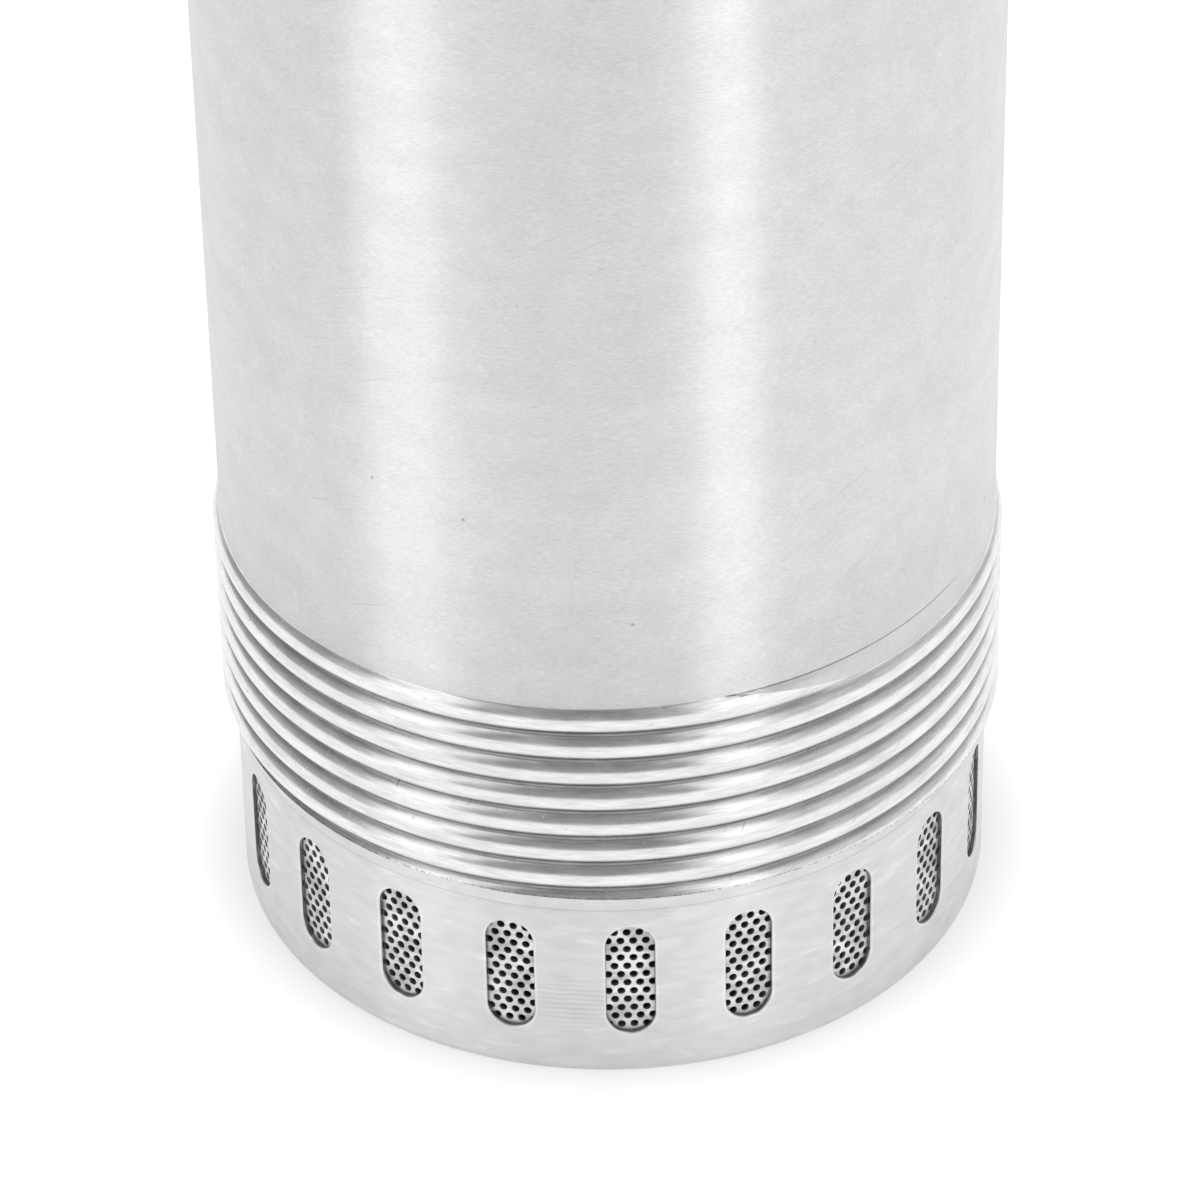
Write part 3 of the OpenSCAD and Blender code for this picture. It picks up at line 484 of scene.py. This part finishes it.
# strainer foot: drawn cup with slots, a joggled neck and the thread that the sleeve screws onto, in mm
foot = {
    "radius": 61.6, "wall": 0.7, "corner": 2.5, "cornerRows": 9, "recess": 1.5, "recessRadius": 46.1,
    "recessSlope": 2, "baseRing": 20, "sharpDeg": 38, "slots": 20,
    "slotWidth": 7.85, "slotHeight": 21.5, "slotMid": 19.65, "slotTurn": 2.0, "rim": 0.24,
    "cellLow": 5.0, "cellHigh": 32.6, "seam": 33.9, "seamDepth": 0.04, "top": 37.2,
    "neckRadius": 60.6, "neckTop": 70.0, "neckWall": 1.0, "neckRows": 120,
    "threadTop": 62.5, "threadGap": 0.35, "threadFade": 2.5, "endSteps": 18, "sideSteps": 10,
    "wallShares": (1.0, 0.72, 0.45, 0.22, 0.08, 0.0), "rimBends": (20, 40, 60, 80, 90)}


# slot outline grown by an amount: half circles joined by straight sides, walked right, top, left, bottom
def slotOutline(grow):
    half = foot["slotWidth"] / 2 + grow
    straight = (foot["slotHeight"] - foot["slotWidth"]) / 2
    along = np.linspace(0, 1, foot["sideSteps"], endpoint=False)
    bend = np.linspace(0, math.pi, foot["endSteps"], endpoint=False)
    side = np.full_like(along, half)
    across = half * np.cos(bend)
    arch = straight + half * np.sin(bend)
    climb = straight * (2 * along - 1)
    x = np.concatenate([side, across, -side, -across])
    z = np.concatenate([climb, arch, -climb, -arch])
    return x, z + foot["slotMid"]


# edge of one slot's share of the wall, walked the same way as the slot outline
def cellOutline():
    half = math.pi / foot["slots"] * foot["radius"]
    low = foot["cellLow"]
    high = foot["cellHigh"]
    along = np.linspace(0, 1, foot["sideSteps"], endpoint=False)
    across = np.linspace(0, 1, foot["endSteps"], endpoint=False)
    side = np.full_like(along, half)
    climb = (high - low) * along
    x = np.concatenate([side, half * (1 - 2 * across), -side, half * (2 * across - 1)])
    z = np.concatenate([low + climb, np.full_like(across, high), high - climb, np.full_like(across, low)])
    return x, z


# walls between the slots: from the cell's edge to the slot outside, round the rim, through the wall and back
def slottedWall():
    cellX, cellZ = cellOutline()
    slotX, slotZ = slotOutline(foot["rim"])
    rows = []
    for share in foot["wallShares"]:
        rowX = share * cellX + (1 - share) * slotX
        rowZ = share * cellZ + (1 - share) * slotZ
        rows.append((rowX, rowZ, foot["radius"]))
    for bend in np.radians(foot["rimBends"]):
        slotX, slotZ = slotOutline(foot["rim"] * (1 - math.sin(bend)))
        rows.append((slotX, slotZ, foot["radius"] - foot["rim"] * (1 - math.cos(bend))))
    inner = foot["radius"] - foot["wall"]
    slotX, slotZ = slotOutline(0)
    rows.append((slotX, slotZ, inner))
    rows.append((0.4 * cellX + 0.6 * slotX, 0.4 * cellZ + 0.6 * slotZ, inner))
    rows.append((cellX, cellZ, inner))
    x = np.stack([row[0] for row in rows])
    z = np.stack([row[1] for row in rows])
    radius = np.repeat(np.array([row[2] for row in rows])[:, None], x.shape[1], 1)
    quads = gridQuads(len(rows), x.shape[1], False, True)[:, ::-1]
    order = np.arange(foot["slots"])
    centres = np.radians(foot["slotTurn"] + 360 / foot["slots"] * order)
    angle = x[None] / foot["radius"] + centres[:, None, None]
    allRadius = np.broadcast_to(radius, angle.shape)
    points = onAxis(allRadius * mm, angle, np.broadcast_to(z, angle.shape) * mm)
    allQuads = (quads[None] + (order * x.size)[:, None, None]).reshape(-1, 4)
    # the rim row, marked for a painted highlight
    rimRow = len(foot["wallShares"]) - 1
    onRim = (np.arange(len(rows)) == rimRow) * 1.0
    rimHighlightMask = np.broadcast_to(onRim[None, :, None], angle.shape).ravel()
    return points, allQuads, rimHighlightMask


# ring columns that meet the cells' upper and lower edges point for point
def footAngles():
    cell = 2 * math.pi / foot["slots"]
    steps = foot["endSteps"] * foot["slots"]
    return math.radians(foot["slotTurn"]) - cell / 2 + np.arange(steps) * 2 * math.pi / steps


# neck radius: plain, or inside the sleeve's own rolled surface by the thread gap
def neckRadius(angle, height):
    wrapped = np.mod(angle + math.pi, 2 * math.pi) - math.pi
    threaded = knuckle(wrapped, height) - sleeve["wall"] - foot["threadGap"]
    rising = np.clip((height - foot["top"] - 1) / foot["threadFade"], 0, 1)
    ending = np.clip((foot["threadTop"] - height) / foot["threadFade"], 0, 1)
    inThread = rising * ending
    return foot["neckRadius"] + np.maximum(threaded - foot["neckRadius"], 0) * inThread


# a profile of radius and height pairs carried around the axis
def turnedBand(profile):
    angle = np.repeat(footAngles()[None, :], len(profile), 0)
    radius = np.repeat(profile[:, :1], angle.shape[1], 1)
    height = np.repeat(profile[:, 1:], angle.shape[1], 1)
    return radius, angle, height


# below the slots: outer wall down, round corner, base with its stamped recess, then the same inside
def cupProfile():
    outer = foot["radius"]
    inner = outer - foot["wall"]
    corner = foot["corner"]
    inBend = corner - foot["wall"]
    recess = foot["recess"]
    edge = foot["recessRadius"]
    slope = foot["recessSlope"]
    ring = foot["baseRing"]
    bend = np.radians(np.linspace(0, 90, foot["cornerRows"]))
    wallOut = [(outer, foot["cellLow"]), (outer, corner)]
    cornerOut = np.stack([outer - corner + corner * np.cos(bend), corner - corner * np.sin(bend)], -1)[1:]
    baseOut = [(edge, 0), (edge - slope, recess), (ring, recess), (0, recess)]
    inside = recess + foot["wall"]
    baseIn = [(0, inside), (ring, inside), (edge - slope / 2, inside), (edge + slope / 2, foot["wall"])]
    cornerIn = np.stack([inner - inBend + inBend * np.sin(bend), corner - inBend * np.cos(bend)], -1)
    return np.concatenate([wallOut, cornerOut, baseOut, baseIn, cornerIn, [(inner, foot["cellLow"])]])


# above the slots: seam line, shoulder and joggle, rows of the threaded neck, its rim, the inside back down
def neckProfile():
    outer = foot["radius"]
    inner = outer - foot["wall"]
    neck = foot["neckRadius"]
    bore = neck - foot["neckWall"]
    seam = foot["seam"]
    top = foot["top"]
    neckTop = foot["neckTop"]
    shoulder = [(outer, foot["cellHigh"]), (outer, seam - 0.15), (outer - foot["seamDepth"], seam),
                (outer, seam + 0.15), (outer, top - 0.3), (outer - 0.3, top), (neck + 0.15, top + 0.05),
                (neck, top + 0.4)]
    neckZ = np.linspace(top + 0.6, neckTop - 0.4, foot["neckRows"])
    threaded = np.stack([np.full_like(neckZ, neck), neckZ], -1)
    rim = [(neck - 0.25, neckTop), (neck - 0.75, neckTop), (bore, neckTop - 0.3), (bore, top - 1.0),
           (inner, top - 2.0), (inner, foot["cellHigh"])]
    return np.concatenate([shoulder, threaded, rim]), len(shoulder)


# the foot: slotted wall, cup below and neck above, joined where their edges meet
def footPiece():
    wallPoints, wallQuads, wallRimHighlightMask = slottedWall()
    cupRadius, cupAngle, cupHeight = turnedBand(cupProfile())
    cupPoints = onAxis(cupRadius * mm, cupAngle, cupHeight * mm)
    cupQuads = gridQuads(len(cupRadius), cupRadius.shape[1], False, True)[:, ::-1]
    profile, firstRow = neckProfile()
    bandRadius, bandAngle, bandHeight = turnedBand(profile)
    threaded = slice(firstRow, firstRow + foot["neckRows"])
    bandRadius[threaded] = neckRadius(bandAngle[threaded], bandHeight[threaded])
    bandPoints = onAxis(bandRadius * mm, bandAngle, bandHeight * mm)
    bandQuads = gridQuads(len(bandRadius), bandRadius.shape[1], False, True)
    points = np.concatenate([wallPoints, cupPoints, bandPoints])
    cupStart = len(wallPoints)
    bandStart = cupStart + len(cupPoints)
    quads = np.concatenate([wallQuads, cupQuads + cupStart, bandQuads + bandStart])
    rimHighlightMask = np.concatenate([wallRimHighlightMask, np.zeros(len(cupPoints) + len(bandPoints))])
    piece = makePiece("strainerFootDrawn", points, quads, foot["sharpDeg"], footSteel,
                      "foot", rimHighlightMask)
    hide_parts("strainer_foot")


footPiece()
print("strainer foot built")


# perforated sheet behind the slots: staggered round holes, in mm
screen = {
    "radius": 60.82, "wall": 0.6, "low": 2.6, "high": 34.2, "holeWidth": 1.36, "around": 190,
    "rowMm": 1.69, "rows": 13, "midZ": 20.4, "phaseDeg": 0.6, "sharpDeg": 40}


# outer face twice, then the inner face twice
def sheetRadii():
    return np.array([0, 0, -screen["wall"], -screen["wall"]]) + screen["radius"]


# one cell: the ring between a round hole and its share of the sheet, the hole's wall, the same ring inside
def perforatedSheet():
    step = np.radians(360 / screen["around"])
    cellWide = step * screen["radius"]
    # points around the cell's edge, and the turns that put as many around its hole
    edgeX = np.array([1, 1, 0.5, 0, -0.5, -1, -1, -1, -0.5, 0, 0.5, 1]) / 2 * cellWide
    edgeZ = np.array([0, 1, 1, 1, 1, 1, 0, -1, -1, -1, -1, -1]) / 2 * screen["rowMm"]
    spin = np.radians([0, 38, 62, 90, 118, 142, 180, 218, 242, 270, 298, 322])
    holeX = screen["holeWidth"] / 2 * np.cos(spin)
    holeZ = screen["holeWidth"] / 2 * np.sin(spin)
    x = np.stack([edgeX, holeX, holeX, edgeX])
    z = np.stack([edgeZ, holeZ, holeZ, edgeZ])
    sides = len(spin)
    radius = np.repeat(sheetRadii()[:, None], sides, 1)
    row, column = np.meshgrid(np.arange(screen["rows"]), np.arange(screen["around"]), indexing="ij")
    centreAngle = np.radians(screen["phaseDeg"]) + (column + 0.5 * (row % 2)) * step
    centreZ = screen["midZ"] + (row - (screen["rows"] - 1) / 2) * screen["rowMm"]
    angle = x[None] / screen["radius"] + centreAngle.ravel()[:, None, None]
    height = z[None] + centreZ.ravel()[:, None, None]
    points = onAxis(np.broadcast_to(radius, angle.shape) * mm, angle, height * mm)
    quads = gridQuads(len(x), sides, False, True)[:, ::-1]
    return points, (quads[None] + (np.arange(row.size) * x.size)[:, None, None]).reshape(-1, 4)


# plain edges of the sheet above and below the holes, meeting the cells at every half step
def sheetBand(holeSide, freeEdge, rowIndex):
    columns = screen["around"] * 4
    steps = np.arange(columns) - 2 + 2 * (rowIndex % 2)
    angle = np.radians(screen["phaseDeg"]) + steps * 2 * math.pi / columns
    height = np.array([holeSide, freeEdge, freeEdge, holeSide])
    allAngle = np.repeat(angle[None, :], 4, 0)
    allRadius = np.repeat(sheetRadii()[:, None], columns, 1)
    points = onAxis(allRadius * mm, allAngle, np.repeat(height[:, None], columns, 1) * mm)
    return points, gridQuads(4, columns, False, True)


# the sheet: all cells with a plain band below and above
def screenPiece():
    cellPoints, cellQuads = perforatedSheet()
    half = screen["rows"] / 2 * screen["rowMm"]
    lowPoints, lowQuads = sheetBand(screen["midZ"] - half, screen["low"], 0)
    highPoints, highQuads = sheetBand(screen["midZ"] + half, screen["high"], screen["rows"] - 1)
    points = np.concatenate([cellPoints, lowPoints, highPoints])
    lowStart = len(cellPoints)
    highStart = lowStart + len(lowPoints)
    quads = np.concatenate([cellQuads, lowQuads[:, ::-1] + lowStart, highQuads + highStart])
    piece = makePiece("screenPerforated", points, quads, screen["sharpDeg"], screenSteel,
                      "screen")
    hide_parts("strainer_screen")


screenPiece()
print("screen built")


# finishes of the pieces that stay as they are: one entry for each slot of the record
finishes = {
    "cast_stainless": {  # sand grit, soft grey shine
        "dark": "#A9A9A7", "light": "#BDBDBB", "metallic": 1.0, "roughness": 0.42, "gritMm": 0.5,
        "patchMm": 18, "bump": 0.35},
    "ground_stainless": {  # smooth, clear highlights
        "dark": "#BDBEBE", "light": "#CFCFCE", "metallic": 1.0, "roughness": 0.26, "gritMm": 0.4,
        "patchMm": 12, "bump": 0.08},
    "spring_steel": {  # drawn wire, darker shine
        "dark": "#9A9B9D", "light": "#B4B5B6", "metallic": 1.0, "roughness": 0.3, "gritMm": 0.3,
        "patchMm": 6, "bump": 0.1},
    "bearing_steel": {  # lapped, nearly a mirror
        "dark": "#C4C5C7", "light": "#D2D3D4", "metallic": 1.0, "roughness": 0.14, "gritMm": 0.4,
        "patchMm": 8, "bump": 0.04},
    "lamination_steel": {  # varnished stack, dark and dull
        "dark": "#4A4B4E", "light": "#5C5D60", "metallic": 0.8, "roughness": 0.5, "gritMm": 0.5,
        "patchMm": 14, "bump": 0.3},
    "grey_casting": {  # cast skin, rough and matt
        "dark": "#63656A", "light": "#777A7E", "metallic": 0.6, "roughness": 0.55, "gritMm": 0.6,
        "patchMm": 16, "bump": 0.45},
    "end_ring_alloy": {  # pale die casting
        "dark": "#B5B6B8", "light": "#C8C9CA", "metallic": 1.0, "roughness": 0.38, "gritMm": 0.5,
        "patchMm": 12, "bump": 0.25},
    "enamelled_copper": {  # wound wires under varnish
        "dark": "#7A3B1C", "light": "#A3562A", "metallic": 0.7, "roughness": 0.36, "gritMm": 0.9,
        "patchMm": 9, "bump": 0.6},
    "bearing_bronze": {  # bored, warm shine
        "dark": "#93692F", "light": "#B08544", "metallic": 1.0, "roughness": 0.34, "gritMm": 0.5,
        "patchMm": 10, "bump": 0.2},
    "moulded_polymer": {  # mould skin, satin
        "dark": "#BDB093", "light": "#CBBFA3", "metallic": 0.0, "roughness": 0.48, "gritMm": 0.4,
        "patchMm": 15, "bump": 0.2},
    "dark_polymer": {  # filled, dark satin
        "dark": "#34383B", "light": "#43474A", "metallic": 0.0, "roughness": 0.5, "gritMm": 0.4,
        "patchMm": 15, "bump": 0.25},
    "seal_ceramic": {  # ground, pale and glossy
        "dark": "#DDD8CE", "light": "#EAE6DE", "metallic": 0.0, "roughness": 0.2, "gritMm": 0.3,
        "patchMm": 8, "bump": 0.05},
    "seal_carbon": {  # lapped, black
        "dark": "#1D1D1F", "light": "#2B2B2D", "metallic": 0.0, "roughness": 0.35, "gritMm": 0.3,
        "patchMm": 8, "bump": 0.1},
    "black_rubber": {  # moulded, matt black
        "dark": "#101011", "light": "#1C1C1D", "metallic": 0.0, "roughness": 0.6, "gritMm": 0.5,
        "patchMm": 9, "bump": 0.3},
}
made = {name: grittyFinish(name.title().replace("_", ""), look) for name, look in finishes.items()}
made["brushed_stainless"] = tubeSteel
made["pressed_stainless"] = footSteel
made["perforated_stainless"] = screenSteel
slotOf = {part["node"]: part["material_slot"] for part in frame["record"]["subparts"]}
for nodeName, nodeObject in frame["nodes"].items():
    nodeObject.data.materials.clear()
    nodeObject.data.materials.append(made[slotOf[nodeName]])
print("finishes on", len(frame["nodes"]), "nodes")


# valve spring, in mm: round wire wound up around the stem
spring = {"wire": 0.6, "turns": 5, "flatTurns": 0.7, "turnSteps": 40, "sides": 12, "sharpDeg": 50}


# wire centre climbs evenly between two flat end turns; the wire's circle shrinks to a point at both ends
def valveSpring():
    low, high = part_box("valve_spring")
    coilRadius = high.x / mm - spring["wire"]
    turn = np.linspace(0, spring["turns"], spring["turns"] * spring["turnSteps"])[:, None]
    climb = np.clip((turn - spring["flatTurns"]) / (spring["turns"] - 2 * spring["flatTurns"]), 0, 1)
    thick = np.full(turn.shape, spring["wire"])
    thick[[0, -1]] = 0
    around = np.linspace(0, 2 * math.pi, spring["sides"], endpoint=False)[None, :]
    radius = coilRadius + thick * np.cos(around)
    middle = low.z / mm + spring["wire"] + climb * ((high.z - low.z) / mm - 2 * spring["wire"])
    height = middle + thick * np.sin(around)
    angle = np.broadcast_to(turn * 2 * math.pi, radius.shape)
    quads = gridQuads(len(turn), spring["sides"], False, True)[:, ::-1]
    points = onAxis(radius * mm, angle, height * mm)
    piece = makePiece("valveSpringWound", points, quads, spring["sharpDeg"], made["spring_steel"],
                      "pump")
    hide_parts("valve_spring")
    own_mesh(piece)


valveSpring()
print("valve spring built")


# object matrix from its side, up and back directions and its place
def facing(side, up, back, place):
    rows = np.eye(4)
    rows[:3] = np.stack([side, up, back, place], -1)
    return Matrix(rows.tolist())


# camera at the photo's angle, from the fit of the tube's outline
camera = {"lensMm": 186.66, "sensorMm": 36.0, "pitchDeg": 35.969, "rollDeg": 1.1253, "distance": 1.01697,
          "aim": (-0.001525, 0.0, 0.04951)}
pitch = math.radians(camera["pitchDeg"])
roll = math.radians(camera["rollDeg"])
forward = np.array([0, math.cos(pitch), -math.sin(pitch)])
level = np.array([1.0, 0, 0])
down = np.array([0, -math.sin(pitch), -math.cos(pitch)])
right = math.cos(roll) * level + math.sin(roll) * down
under = -math.sin(roll) * level + math.cos(roll) * down
eye = np.array(camera["aim"]) - camera["distance"] * forward
lens = bpy.data.cameras.new("studioCamera")
lens.lens = camera["lensMm"]
lens.sensor_width = camera["sensorMm"]
lens.sensor_fit = "HORIZONTAL"
view = bpy.data.objects.new("studioCamera", lens)
view.matrix_world = facing(right, -under, -forward, eye)
bpy.context.scene.collection.objects.link(view)
bpy.context.scene.camera = view

# two tall soft boxes and one overhead; angles are from the camera's side, positive to the right
lights = {
    "softBoxLeft": {"angle": -55, "height": 1.0, "distance": 1.6, "wide": 0.76, "tall": 2.2, "watts": 5.8},
    "softBoxRight": {"angle": 32.8, "height": 1.0, "distance": 1.6, "wide": 0.54, "tall": 2.2, "watts": 4.5},
    "softBoxTop": {"angle": 0, "height": 2.0, "distance": 0.05, "wide": 1.8, "tall": 1.8, "watts": 7.0},
}
lightAim = np.array([0, 0, 0.06])
for lightName, light in lights.items():
    lamp = bpy.data.lights.new(lightName, "AREA")
    lamp.shape = "RECTANGLE"
    lamp.size = light["wide"]
    lamp.size_y = light["tall"]
    lamp.energy = light["watts"]
    holder = bpy.data.objects.new(lightName, lamp)
    swing = math.radians(light["angle"])
    across = light["distance"] * math.sin(swing)
    place = np.array([across, -light["distance"] * math.cos(swing), light["height"]])
    back = (place - lightAim) / np.linalg.norm(place - lightAim)
    side = np.cross([0, 0, 1], back) if abs(back[2]) < 0.99 else np.array([1.0, 0, 0])
    side = side / np.linalg.norm(side)
    holder.matrix_world = facing(side, np.cross(back, side), back, place)
    bpy.context.scene.collection.objects.link(holder)

# studio walls: pale near the floor, greyer overhead, white on the right and faintly lit on the left
world = bpy.data.worlds.new("studioWhite")
world.use_nodes = True
sky = world.node_tree
direction = addNode(sky, "ShaderNodeTexCoord").outputs["Generated"]
seen = addNode(sky, splitNode, {}, {0: direction}).outputs
rise = addNode(sky, rangeNode, {1: 0.0, 2: 0.8, 3: 0.45, 4: 0.27}, {0: seen["Z"]})
rightWall = addNode(sky, rangeNode, {1: 0.35, 2: 0.75, 3: 0.0, 4: 0.32}, {0: seen["X"]})
leftWall = addNode(sky, rangeNode, {1: -0.6, 2: -0.3, 3: 0.05, 4: 0.0}, {0: seen["X"]})
walls = addNode(sky, mathNode, {"operation": "ADD"}, {0: rise, 1: rightWall})
glow = addNode(sky, mathNode, {"operation": "ADD"}, {0: walls, 1: leftWall})
background = sky.nodes["Background"]
background.inputs["Color"].default_value = linear("#FFFFFF")
sky.links.new(glow.outputs[0], background.inputs["Strength"])
bpy.context.scene.world = world

# white paper floor: white to the camera and in reflections, with a painted shadow close to the foot, where
# it glows less
paperLook = {"dark": "#9C9C9C", "light": "#A2A2A2", "metallic": 0.0, "roughness": 0.7, "gritMm": 2.0,
             "patchMm": 200, "bump": 0.02, "reach": 6, "shadeFrom": 0.06, "shadeTo": 0.076, "shaded": 0.6,
             "white": 0.96, "middle": (0, 0.002, 0)}
paper = grittyFinish("whitePaperFloor", paperLook)
paperTree = paper.node_tree
paperShader = paperTree.nodes["Principled BSDF"]
paperPlace = addNode(paperTree, "ShaderNodeTexCoord").outputs["Object"]
fromFoot = {"operation": "DISTANCE", 1: paperLook["middle"]}
away = addNode(paperTree, vectorNode, fromFoot, {0: paperPlace}).outputs["Value"]
whiteRange = {
    1: paperLook["shadeFrom"], 2: paperLook["shadeTo"], 3: paperLook["shaded"], 4: paperLook["white"]}
# painted shadow: the floor's glow drops near the foot
white = addNode(paperTree, rangeNode, whiteRange, {0: away})
ray = addNode(paperTree, "ShaderNodeLightPath").outputs
bounced = {0: ray["Is Glossy Ray"], 1: ray["Is Transmission Ray"]}
mirrored = addNode(paperTree, mathNode, {"operation": "MAXIMUM"}, bounced)
looking = addNode(paperTree, mathNode, {"operation": "MAXIMUM"}, {0: ray["Is Camera Ray"], 1: mirrored})
paperGlow = allShades(paperTree, [white, looking])
paperShader.inputs["Emission Color"].default_value = linear("#FFFFFF")
paperTree.links.new(paperGlow.outputs[0], paperShader.inputs["Emission Strength"])
paper.cycles.emission_sampling = "NONE"  # it is seen, and doesn't light the object
reach = paperLook["reach"]
floorMesh = bpy.data.meshes.new("studioFloor")
corners = [(-reach, -reach, 0), (reach, -reach, 0), (reach, reach, 0), (-reach, reach, 0)]
floorMesh.from_pydata(corners, [], [(0, 1, 2, 3)])
floorMesh.materials.append(paper)
floor = bpy.data.objects.new("studioFloor", floorMesh)
bpy.context.scene.collection.objects.link(floor)
bpy.context.scene.view_settings.view_transform = "Standard"
print("camera, lights and floor ready")
